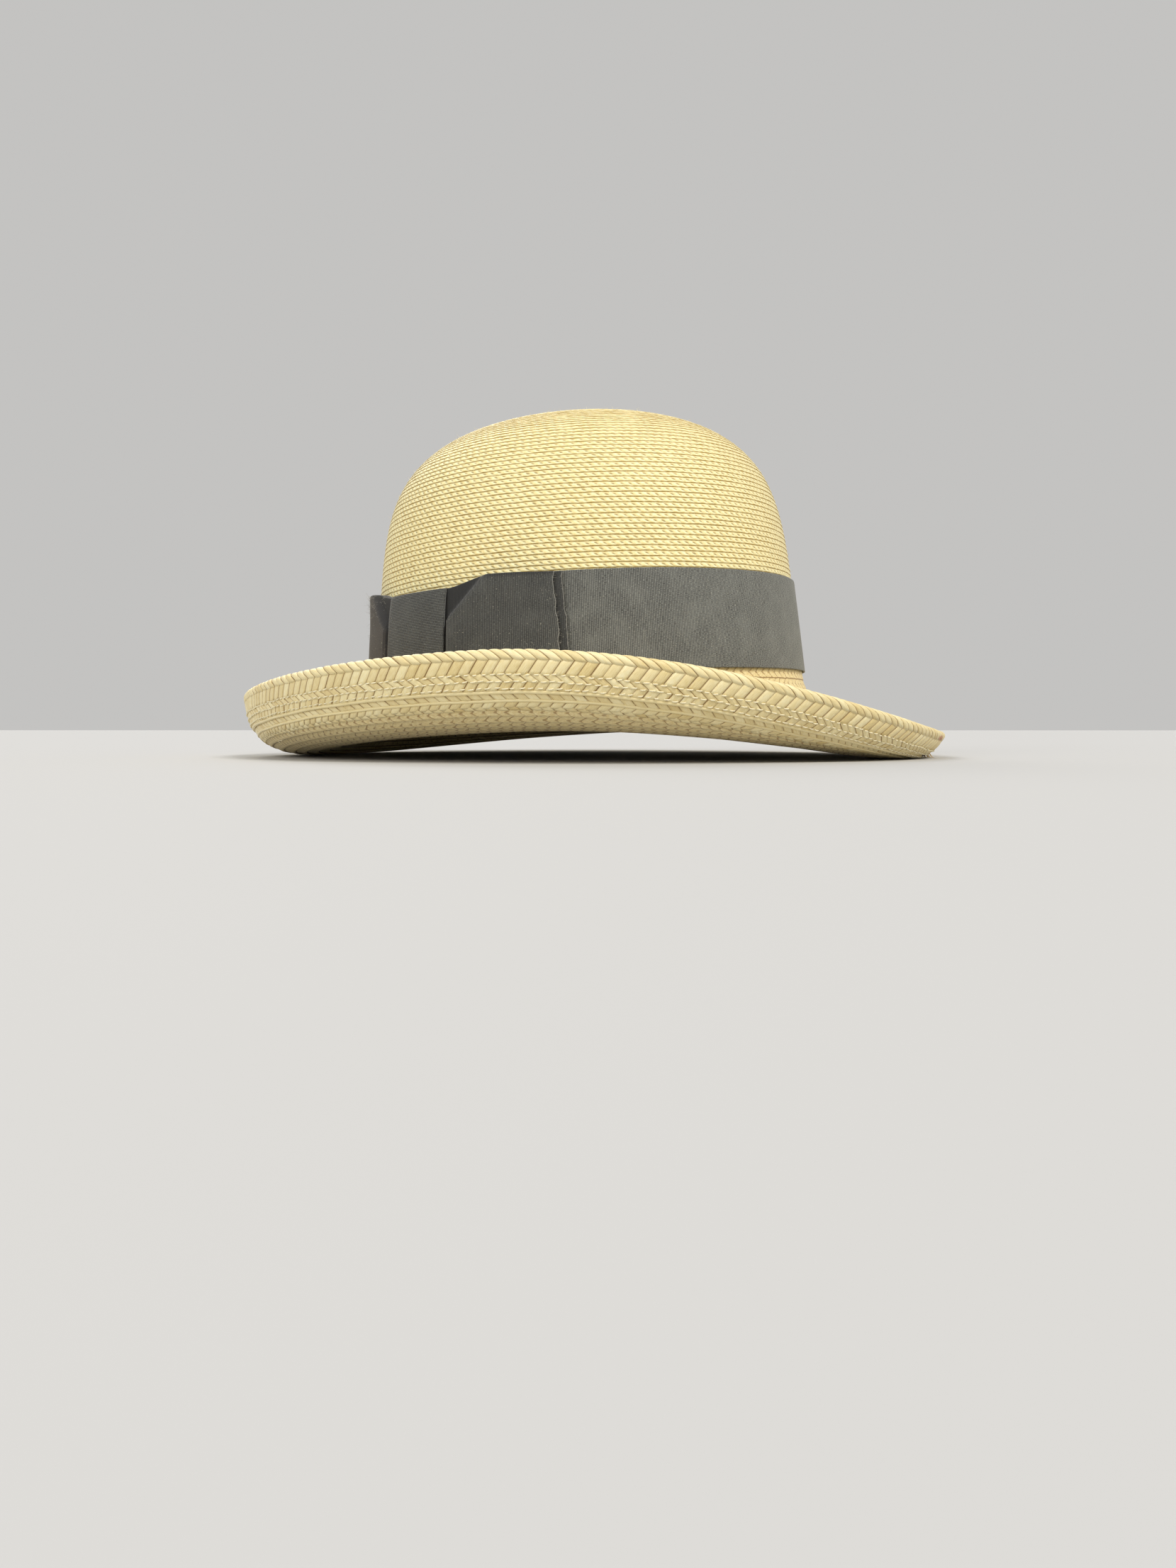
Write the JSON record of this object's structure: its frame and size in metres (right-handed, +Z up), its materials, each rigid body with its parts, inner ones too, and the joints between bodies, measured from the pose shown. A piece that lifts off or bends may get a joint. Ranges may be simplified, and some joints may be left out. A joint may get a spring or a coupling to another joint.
{
  "type": "straw hat with round crown and ribbon band",
  "caption": "Straw hat with a smooth round crown, a brim turned up all round, a plaited rim, and a dark grosgrain ribbon band with a flat bow.",
  "frame": {"origin": "on the surface the hat rests on, under the middle of its overall box", "axes": "+Z up, -Y towards the front of the hat, -X towards the wearer's right, where the bow is"},
  "size_m": [0.2974, 0.3144, 0.1531],
  "materials": {
    "crown_straw": "fine stitched straw braid, soft sheen",
    "brim_straw": "coarser basket-woven straw braid, soft sheen",
    "edge_straw": "wide flat straw plait, satin",
    "ribbon": "ribbed grosgrain, matt with a faint sheen",
    "sweatband": "ribbed ribbon, matt"
  },
  "bodies": {
    "root": {"crown": "crown_straw", "brim": "brim_straw", "edge_braid": "edge_straw", "ribbon_band": "ribbon", "sweatband": "sweatband", "bow_front_under": "ribbon", "bow_front": "ribbon", "bow_back_under": "ribbon", "bow_back": "ribbon", "bow_knot": "ribbon"}
  },
  "joints": []
}
